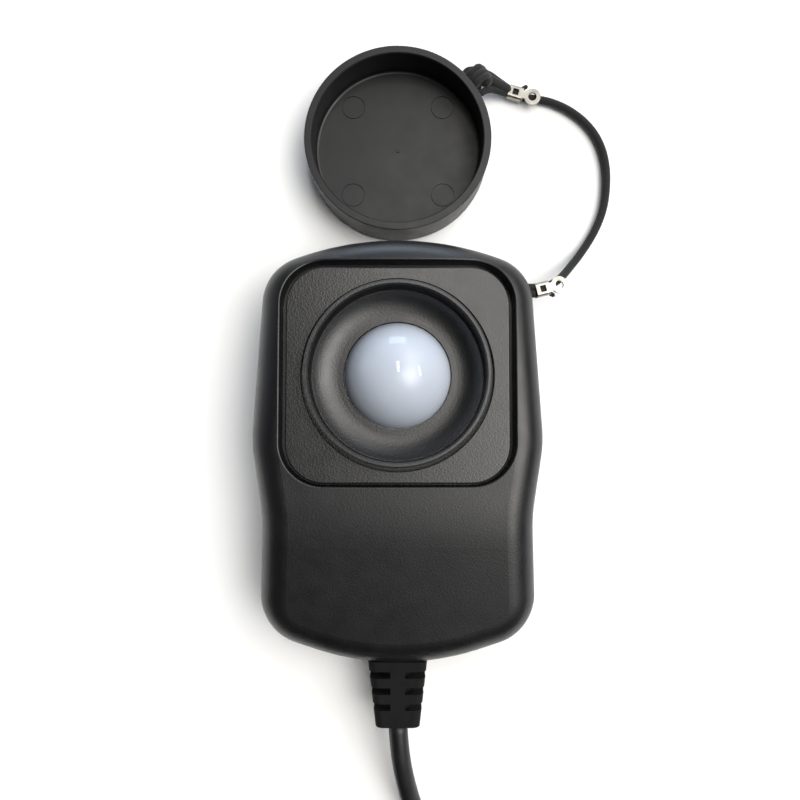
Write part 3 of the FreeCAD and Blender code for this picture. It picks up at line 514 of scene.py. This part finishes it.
def make_strap():
    """The woven strap round the coil: a thin band with soft edges, closed over its own end."""
    low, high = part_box("coil_tie")
    middle_y = (low.y + high.y) / 2
    half = STRAP_THICKNESS / 2
    edge = STRAP_WIDTH / 2
    rows = [
        (-edge, STRAP_EDGE_THICKNESS),
        (-edge + STRAP_EDGE, 1.0),
        (0, 1.0),
        (edge - STRAP_EDGE, 1.0),
        (edge, STRAP_EDGE_THICKNESS),
    ]
    profile = []
    for side in (1, -1):
        profile += [(side * y, side * share * half) for y, share in rows]
    points = []
    path = strap_path()
    for place, out in path:
        for y, height in profile:
            points.append(place + out * height + Vector((0, middle_y + y, 0)))
    faces = []
    count = len(profile)
    for row in range(len(path) - 1):
        for step in range(count):
            a = row * count + step
            b = row * count + (step + 1) % count
            faces.append((a, b, b + count, a + count))
    last = (len(path) - 1) * count
    faces.append(tuple(reversed(range(count))))
    faces.append(tuple(range(last, last + count)))
    strap = add_mesh("coil_strap", points, faces)
    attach(strap, "housing")
    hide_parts("coil_tie")
    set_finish(strap, "strap_fabric")
    return strap


knot_cord = make_knot()
loop_cord = make_loop()
strap = make_strap()


# ---- Materials ----


# Bands that a wave texture of scale 1 has in a length of 1
WAVES_PER_UNIT = 3.1831


class Look:
    """A node material in the making: a principled shader, and textures in the object's own metres."""

    def __init__(self, name, roughness, metallic=0.0, **constants):
        self.material = bpy.data.materials.new(name)
        self.material.use_nodes = True
        self.tree = self.material.node_tree
        self.shader = self.tree.nodes["Principled BSDF"]
        self.shader.inputs["Roughness"].default_value = roughness
        self.shader.inputs["Metallic"].default_value = metallic
        for socket, value in constants.items():
            self.shader.inputs[socket.replace("_", " ")].default_value = value
        self.place = self.tree.nodes.new("ShaderNodeTexCoord").outputs["Object"]

    def link(self, source, target):
        self.tree.links.new(source, target)

    def noise(self, size, detail=2.0, stretch=(1, 1, 1)):
        """Soft noise whose blobs are about size metres across."""
        node = self.tree.nodes.new("ShaderNodeTexNoise")
        node.inputs["Scale"].default_value = 1.0 / size
        node.inputs["Detail"].default_value = detail
        self.link(self.stretched(stretch), node.inputs["Vector"])
        return node.outputs["Fac"]

    def cells(self, size):
        """Distance to the nearest of many scattered points, about size metres apart."""
        node = self.tree.nodes.new("ShaderNodeTexVoronoi")
        node.inputs["Scale"].default_value = 1.0 / size
        self.link(self.place, node.inputs["Vector"])
        return node.outputs["Distance"]

    def stretched(self, stretch):
        """The place on the object, scaled along each axis."""
        if stretch == (1, 1, 1):
            return self.place
        node = self.tree.nodes.new("ShaderNodeMapping")
        node.inputs["Scale"].default_value = stretch
        self.link(self.place, node.inputs["Vector"])
        return node.outputs["Vector"]

    def wave(self, size, axis):
        """Even bands, size metres apart."""
        node = self.tree.nodes.new("ShaderNodeTexWave")
        node.wave_type = "BANDS"
        node.bands_direction = axis
        node.inputs["Scale"].default_value = 1.0 / size / WAVES_PER_UNIT
        self.link(self.place, node.inputs["Vector"])
        return node.outputs["Fac"]

    def between(self, source, low, high, to_low=0.0, to_high=1.0):
        """A source mapped from one range to another, and kept within it."""
        node = self.tree.nodes.new("ShaderNodeMapRange")
        for socket, value in (("From Min", low), ("From Max", high), ("To Min", to_low), ("To Max", to_high)):
            node.inputs[socket].default_value = value
        self.link(source, node.inputs["Value"])
        return node.outputs["Result"]

    def maths(self, operation, a, b):
        node = self.tree.nodes.new("ShaderNodeMath")
        node.operation = operation
        for socket, value in zip(node.inputs, (a, b)):
            if isinstance(value, (int, float)):
                socket.default_value = value
            else:
                self.link(value, socket)
        return node.outputs["Value"]

    def mixed(self, share, low, high):
        """A colour between two."""
        node = self.tree.nodes.new("ShaderNodeMix")
        node.data_type = "RGBA"
        self.link(share, node.inputs["Factor"])
        node.inputs[6].default_value = (*low, 1.0)
        node.inputs[7].default_value = (*high, 1.0)
        return node.outputs[2]

    def colour(self, source):
        self.link(source, self.shader.inputs["Base Color"])

    def rough(self, source):
        self.link(source, self.shader.inputs["Roughness"])

    def bump(self, source, depth):
        """Gives the surface a relief of that depth in metres."""
        node = self.tree.nodes.new("ShaderNodeBump")
        node.inputs["Distance"].default_value = depth
        node.inputs["Strength"].default_value = 1.0
        self.link(source, node.inputs["Height"])
        self.link(node.outputs["Normal"], self.shader.inputs["Normal"])


def moulded(name, dark, light, roughness, grain, depth, **constants):
    """Moulded plastic: a fine leather grain, and slight cloudiness in colour and gloss."""
    look = Look(name, roughness, **constants)
    cloud = look.noise(9 * MM, 3.0)
    look.colour(look.mixed(look.between(cloud, 0.3, 0.7), dark, light))
    fine = look.noise(grain * 0.55, 2.0)
    pits = look.cells(grain)
    relief = look.maths("ADD", look.maths("MULTIPLY", pits, 0.55), look.maths("MULTIPLY", fine, 0.75))
    look.bump(relief, depth)
    smear = look.noise(3.2 * MM, 4.0)
    look.rough(look.between(smear, 0.25, 0.75, roughness - 0.04, roughness + 0.04))
    return look.material


def smooth_plastic(name, dark, light, roughness, depth=0.003 * MM, **constants):
    """Smooth moulded plastic with faint flow marks and fine rub marks."""
    look = Look(name, roughness, **constants)
    look.colour(look.mixed(look.between(look.noise(5 * MM, 4.0), 0.3, 0.7), dark, light))
    rubs = look.noise(3.5 * MM, 6.0)
    look.rough(look.between(rubs, 0.3, 0.7, roughness - 0.05, roughness + 0.05))
    look.bump(look.noise(0.5 * MM, 3.0), depth)
    return look.material


def metal(name, dark, light, roughness, size=0.6 * MM, depth=0.004 * MM):
    """Plated or turned metal: fine scratches, small dents and cloudy tarnish."""
    look = Look(name, roughness, 1.0)
    look.colour(look.mixed(look.between(look.noise(size * 3, 4.0), 0.3, 0.7), dark, light))
    look.rough(look.between(look.noise(size, 5.0, (1, 6, 1)), 0.3, 0.7, roughness - 0.08, roughness + 0.1))
    look.bump(look.noise(size, 4.0), depth)
    return look.material


def fibres(name, dark, light, size, depth):
    """Textile: short fibres over the modelled strands, with a slight sheen."""
    look = Look(name, 0.85, Sheen_Weight=0.12, Sheen_Roughness=0.5)
    hairs = look.noise(size, 5.0, (1.0, 2.5, 1.0))
    look.colour(look.mixed(look.between(hairs, 0.35, 0.7), dark, light))
    look.bump(hairs, depth)
    return look.material


def opal(name):
    """The dome's opal plastic: pale and cloudy all through, polished outside."""
    look = Look(name, 0.05, IOR=1.49, Subsurface_Weight=0.35, Subsurface_Scale=0.35,
                Subsurface_Radius=(0.004, 0.0045, 0.005))
    cloud = look.noise(6 * MM, 2.0)
    look.colour(look.mixed(look.between(cloud, 0.3, 0.7), (0.51, 0.56, 0.65), (0.535, 0.585, 0.67)))
    look.bump(look.noise(2.5 * MM, 2.0), 0.002 * MM)
    return look.material


def glass(name, tint):
    """A polished optical glass with a faint tint."""
    look = Look(name, 0.04, Transmission_Weight=0.9, IOR=1.52)
    look.colour(look.mixed(look.noise(4 * MM, 2.0), tint, tuple(min(1.0, c * 1.06) for c in tint)))
    return look.material


def woven(name, dark, light):
    """A narrow woven strap: rows of yarn across and along."""
    look = Look(name, 0.9, Sheen_Weight=0.2, Sheen_Roughness=0.5)
    warp = look.wave(0.45 * MM, "Y")
    weft = look.maths("MULTIPLY", look.wave(0.6 * MM, "X"), look.wave(0.6 * MM, "Z"))
    relief = look.maths("ADD", warp, weft)
    # Colour follows the relief: painted shade darkens the low parts between the yarns, and the yarn tops are
    # lighter.
    look.colour(look.mixed(look.between(relief, 0.2, 1.6), dark, light))
    look.bump(relief, 0.08 * MM)
    return look.material


def laminate(name):
    """The circuit board: green lacquer over copper tracks."""
    look = Look(name, 0.35, Coat_Weight=0.4, Coat_Roughness=0.2)
    tracks = look.maths("MULTIPLY", look.wave(2.6 * MM, "X"), look.wave(3.4 * MM, "Y"))
    edge = look.between(tracks, 0.48, 0.55)
    look.colour(look.mixed(edge, (0.012, 0.09, 0.035), (0.03, 0.19, 0.07)))
    look.bump(edge, 0.03 * MM)
    return look.material


BLACK = (0.0055, 0.0055, 0.0065)
BLACK_LIGHT = (0.0075, 0.0075, 0.0085)


def make_materials():
    """Each slot of the record with its own material."""
    return {
        "case_plastic": moulded("case_plastic", BLACK, BLACK_LIGHT, 0.36, 0.4 * MM, 0.018 * MM),
        "plate_plastic": moulded("plate_plastic", BLACK, BLACK_LIGHT, 0.31, 0.44 * MM, 0.026 * MM, IOR=1.6),
        "dish_finish": moulded("dish_finish", BLACK, BLACK_LIGHT, 0.36, 0.44 * MM, 0.03 * MM, IOR=1.62),
        "opal_plastic": opal("opal_plastic"),
        "seal_rubber": smooth_plastic("seal_rubber", (0.01, 0.01, 0.01), (0.015, 0.015, 0.015), 0.7),
        "filter_glass": glass("filter_glass", (0.42, 0.75, 0.5)),
        "holder_plastic": smooth_plastic("holder_plastic", (0.01, 0.01, 0.01), (0.014, 0.014, 0.014), 0.5),
        "screw_steel": metal("screw_steel", (0.5, 0.5, 0.48), (0.66, 0.66, 0.64), 0.35),
        "board_laminate": laminate("board_laminate"),
        "ceramic": smooth_plastic("ceramic", (0.62, 0.58, 0.5), (0.7, 0.66, 0.58), 0.55),
        "silicon": smooth_plastic("silicon", (0.02, 0.022, 0.05), (0.035, 0.035, 0.08), 0.12),
        "window_glass": glass("window_glass", (0.9, 0.94, 0.97)),
        "tinned_metal": metal("tinned_metal", (0.6, 0.6, 0.58), (0.75, 0.75, 0.73), 0.3),
        "trimmer_blue": smooth_plastic("trimmer_blue", (0.02, 0.07, 0.3), (0.03, 0.09, 0.36), 0.35),
        "trimmer_brass": metal("trimmer_brass", (0.6, 0.44, 0.18), (0.72, 0.55, 0.26), 0.3),
        "resistor_black": smooth_plastic("resistor_black", (0.015, 0.015, 0.015), (0.03, 0.03, 0.03), 0.4),
        "capacitor_tan": smooth_plastic("capacitor_tan", (0.42, 0.27, 0.15), (0.5, 0.34, 0.2), 0.5),
        "boot_rubber": smooth_plastic("boot_rubber", (0.004, 0.004, 0.0045), (0.006, 0.006, 0.0065), 0.75,
                                      0.02 * MM, IOR=1.3),
        "cable_jacket": smooth_plastic("cable_jacket", BLACK, (0.011, 0.011, 0.012), 0.45, 0.02 * MM),
        "clamp_plastic": smooth_plastic("clamp_plastic", (0.012, 0.012, 0.012), (0.02, 0.02, 0.02), 0.5),
        "wire_red": smooth_plastic("wire_red", (0.4, 0.02, 0.015), (0.5, 0.03, 0.02), 0.4),
        "wire_black": smooth_plastic("wire_black", (0.012, 0.012, 0.012), (0.02, 0.02, 0.02), 0.4),
        "shield_copper": metal("shield_copper", (0.55, 0.28, 0.16), (0.7, 0.38, 0.24), 0.35),
        "strap_fabric": woven("strap_fabric", (0.008, 0.008, 0.008), (0.03, 0.03, 0.032)),
        "plug_plastic": moulded("plug_plastic", BLACK, BLACK_LIGHT, 0.45, 0.35 * MM, 0.03 * MM),
        "plug_nickel": metal("plug_nickel", (0.62, 0.6, 0.56), (0.74, 0.72, 0.68), 0.16,
                             0.8 * MM, 0.001 * MM),
        "insulator_black": smooth_plastic("insulator_black", (0.01, 0.01, 0.01), (0.015, 0.015, 0.015), 0.4),
        "cap_plastic": smooth_plastic("cap_plastic", (0.005, 0.005, 0.006), (0.009, 0.009, 0.0095), 0.44,
                                      IOR=1.46),
        "crimp_nickel": metal("crimp_nickel", (0.26, 0.245, 0.215), (0.4, 0.385, 0.35), 0.32,
                              0.7 * MM, 0.05 * MM),
        "braid": fibres("braid", (0.004, 0.004, 0.0045), (0.014, 0.014, 0.015), 0.12 * MM, 0.03 * MM),
    }


def wear(piece, material):
    """Gives a piece its one material."""
    piece.data.materials.clear()
    piece.data.materials.append(material)


materials = make_materials()
for subpart in frame["record"]["subparts"]:
    wear(nodes[subpart["node"]], materials[subpart["material_slot"]])
for piece in (cable, tether, knot_cord, loop_cord, strap):
    wear(piece, materials[piece["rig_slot"]])


# ---- Floor and light ----


FLOOR_HALF = 3.0
FLOOR_DROP = 0.2 * MM


def make_floor():
    """A plain pale floor, just below the surface that the head lies on."""
    corners = [(x * FLOOR_HALF, y * FLOOR_HALF, 0) for x, y in ((-1, -1), (1, -1), (1, 1), (-1, 1))]
    floor = add_mesh("floor", corners, [(0, 1, 2, 3)])
    floor.location.z = -FLOOR_DROP
    look = Look("floor", 0.85)
    look.colour(look.mixed(look.noise(0.08, 3.0), (0.95, 0.95, 0.95), (0.97, 0.97, 0.97)))
    wear(floor, look.material)


def bearing_vector(bearing, height):
    """The direction at a bearing (degrees from +Y towards +X) and a height in degrees."""
    bearing = math.radians(bearing)
    height = math.radians(height)
    level = math.cos(height)
    return Vector((math.sin(bearing) * level, math.cos(bearing) * level, math.sin(height)))


# Above this height in degrees, a lamp's longer way is set by the +Y direction and not by the vertical
OVERHEAD = 50


def soft_light(name, bearing, height, distance, width, depth, radiance, colour):
    """A rectangular lamp at a bearing (degrees from +Y towards +X), a height in degrees and a distance."""
    towards = bearing_vector(bearing, height)
    data = bpy.data.lights.new(name, "AREA")
    data.shape = "RECTANGLE"
    data.size = width
    data.size_y = depth
    data.energy = radiance * math.pi * width * depth
    data.color = colour
    lamp = bpy.data.objects.new(name, data)
    lamp.location = towards * distance
    reference = Vector((0, 1, 0)) if height > OVERHEAD else Vector((0, 0, 1))
    side = reference.cross(towards).normalized()
    up = towards.cross(side)
    lamp.rotation_euler = Matrix((side, up, towards)).transposed().to_euler()
    bpy.context.scene.collection.objects.link(lamp)


LAMPS = [
    # name; bearing and height in degrees; distance, width and depth in metres; radiance; colour
    ("window", 0, 12, 0.9, 0.42, 0.3, 4.2, (0.66, 0.8, 1.0)),
    ("strip_near", 4, 73, 0.8, 0.08, 0.3, 10.0, (1.0, 0.97, 0.92)),
    ("strip_side", 80, 43, 0.8, 0.24, 0.05, 14.0, (1.0, 0.97, 0.92)),
]
ROOM_GLOWS = [
    # bearing and height in degrees; how narrow; radiance; colour
    (98, 62, 17, 8.4, (1.0, 0.985, 0.95)),
    (40, 44, 16, 3.2, (1.0, 0.985, 0.96)),
    (0, 22, 12, 1.2, (0.75, 0.86, 1.0)),
    (285, 12, 14, 0.7, (0.9, 0.94, 1.0)),
]


def make_room():
    """The room's light: broad soft glows on the walls and ceiling, brightest to the right of overhead."""
    world = bpy.data.worlds.new("room")
    world.use_nodes = True
    tree = world.node_tree
    direction = tree.nodes.new("ShaderNodeTexCoord").outputs["Generated"]
    total = None
    for bearing, height, narrow, radiance, colour in ROOM_GLOWS:
        towards = tree.nodes.new("ShaderNodeVectorMath")
        towards.operation = "DOT_PRODUCT"
        towards.inputs[1].default_value = bearing_vector(bearing, height)
        tree.links.new(direction, towards.inputs[0])
        front = tree.nodes.new("ShaderNodeMath")
        front.operation = "MAXIMUM"
        front.inputs[1].default_value = 0.0
        tree.links.new(towards.outputs["Value"], front.inputs[0])
        glow = tree.nodes.new("ShaderNodeMath")
        glow.operation = "POWER"
        glow.inputs[1].default_value = narrow
        tree.links.new(front.outputs["Value"], glow.inputs[0])
        tint = tree.nodes.new("ShaderNodeVectorMath")
        tint.operation = "SCALE"
        tint.inputs[0].default_value = [part * radiance for part in colour]
        tree.links.new(glow.outputs["Value"], tint.inputs["Scale"])
        if total is None:
            total = tint.outputs["Vector"]
        else:
            sum_node = tree.nodes.new("ShaderNodeVectorMath")
            sum_node.operation = "ADD"
            tree.links.new(total, sum_node.inputs[0])
            tree.links.new(tint.outputs["Vector"], sum_node.inputs[1])
            total = sum_node.outputs["Vector"]
    tree.links.new(total, tree.nodes["Background"].inputs["Color"])
    bpy.context.scene.world = world


def make_light():
    """A window beyond the cap, a strip lamp overhead and one on the right, and the room's glow."""
    for lamp in LAMPS:
        soft_light(*lamp)
    make_room()
    bpy.context.scene.view_settings.view_transform = "Standard"


make_floor()
make_light()
